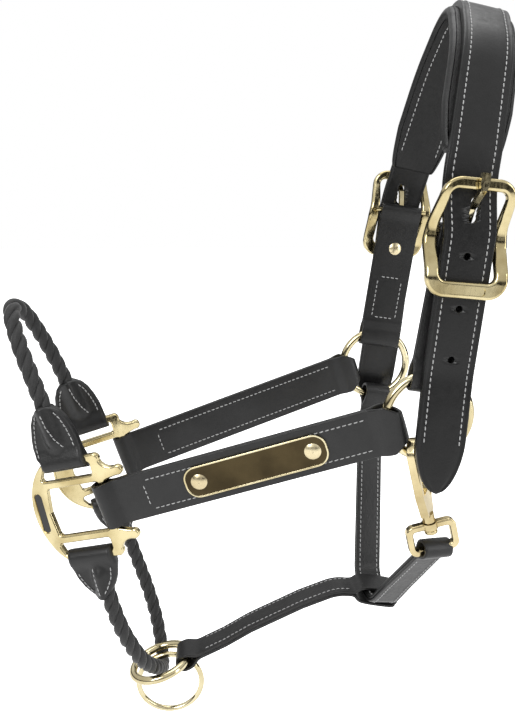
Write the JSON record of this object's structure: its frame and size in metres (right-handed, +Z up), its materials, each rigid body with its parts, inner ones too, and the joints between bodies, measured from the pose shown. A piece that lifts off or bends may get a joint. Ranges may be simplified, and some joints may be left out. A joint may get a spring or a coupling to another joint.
{
  "type": "leather headcollar",
  "caption": "Leather headcollar with a rope noseband, cast brass cheek squares, padded crown with buckled billets and a snap at the throat.",
  "frame": {"origin": "middle of the crown's underside, where it sits on the poll", "axes": "+Z up, +X to the rear, -X to the nose, -Y the horse's left (near) side"},
  "size_m": [0.2633, 0.146, 0.4197],
  "materials": {
    "strap_leather": "black bridle leather, satin, stitched",
    "backing_leather": "soft black leather, rolled edge",
    "lining_leather": "matte black padded lining",
    "tab_leather": "black leather, satin, stitched",
    "brass_cast": "polished cast brass",
    "brass_plain": "polished brass",
    "brass_plate": "polished sheet brass, blank",
    "brass_snap": "polished brass, a little worn",
    "rivet_metal": "satin rivet",
    "rope": "black three-strand rope"
  },
  "bodies": {
    "headpiece": {"crown_strap": "strap_leather", "crown_backing": "backing_leather", "crown_padding": "lining_leather", "near_buckle_frame": "brass_cast", "near_chape": "strap_leather", "near_chape_rivet": "rivet_metal", "far_buckle_frame": "brass_cast", "far_chape": "strap_leather", "far_chape_rivet": "rivet_metal"},
    "near_tongue": {"near_buckle_tongue": "brass_plain"},
    "far_tongue": {"far_buckle_tongue": "brass_plain"},
    "near_ring": {"near_cheek_ring": "brass_plain"},
    "far_ring": {"far_cheek_ring": "brass_plain"},
    "face": {"near_cheek_strap": "strap_leather", "far_cheek_strap": "strap_leather", "nameplate": "brass_plate", "nameplate_rivets": "rivet_metal", "near_cheek_square": "brass_cast", "far_cheek_square": "brass_cast", "near_nose_tab": "tab_leather", "far_nose_tab": "tab_leather", "near_chin_tab": "tab_leather", "far_chin_tab": "tab_leather", "nose_rope": "rope", "chin_rope": "rope", "jaw_strap": "strap_leather", "throat_strap": "strap_leather", "snap_eye": "brass_snap"},
    "jaw_ring": {"jaw_ring": "brass_plain"},
    "lead_ring": {"lead_ring": "brass_plain"},
    "snap_hook": {"snap_hook": "brass_snap", "snap_gate_pin": "rivet_metal"},
    "snap_gate": {"snap_gate": "brass_snap"}
  },
  "joints": [
    {"name": "face_pitch", "type": "hinge", "parent": "headpiece", "child": "face", "pos_m": [-0.033, 0, -0.189], "axis": [0, 1, 0], "range_deg": [-12, 15]},
    {"name": "near_ring_spin", "type": "hinge", "parent": "headpiece", "child": "near_ring", "pos_m": [-0.033, -0.057, -0.189], "axis": [0, 1, 0], "continuous": true},
    {"name": "far_ring_spin", "type": "hinge", "parent": "headpiece", "child": "far_ring", "pos_m": [-0.033, 0.057, -0.189], "axis": [0, 1, 0], "continuous": true},
    {"name": "near_tongue_lift", "type": "hinge", "parent": "headpiece", "child": "near_tongue", "pos_m": [-0.02096, -0.057, -0.10128], "axis": [0.9962, 0, -0.0872], "range_deg": [0, 8]},
    {"name": "far_tongue_lift", "type": "hinge", "parent": "headpiece", "child": "far_tongue", "pos_m": [-0.02013, 0.057, -0.09182], "axis": [-0.9962, 0, 0.0872], "range_deg": [0, 8]},
    {"name": "jaw_ring_turn", "type": "hinge", "parent": "face", "child": "jaw_ring", "pos_m": [-0.1725, -0.004, -0.361], "axis": [-0.2579, 0.0842, 0.9625], "continuous": true},
    {"name": "lead_ring_swing", "type": "hinge", "parent": "face", "child": "lead_ring", "pos_m": [-0.173, 0.01, -0.3748], "axis": [0, 1, 0], "range_deg": [-16, 16]},
    {"name": "snap_swivel", "type": "hinge", "parent": "face", "child": "snap_hook", "pos_m": [-0.03058, -0.057, -0.23887], "axis": [-0.2419, 0, 0.9703], "range_deg": [-5, 8]},
    {"name": "snap_gate_open", "type": "hinge", "parent": "snap_hook", "child": "snap_gate", "pos_m": [-0.02965, -0.05232, -0.23143], "axis": [0.8403, -0.5, 0.2095], "range_deg": [0, 25], "stiffness_Nm_per_rad": 0.05, "springref_deg": -5.73}
  ]
}
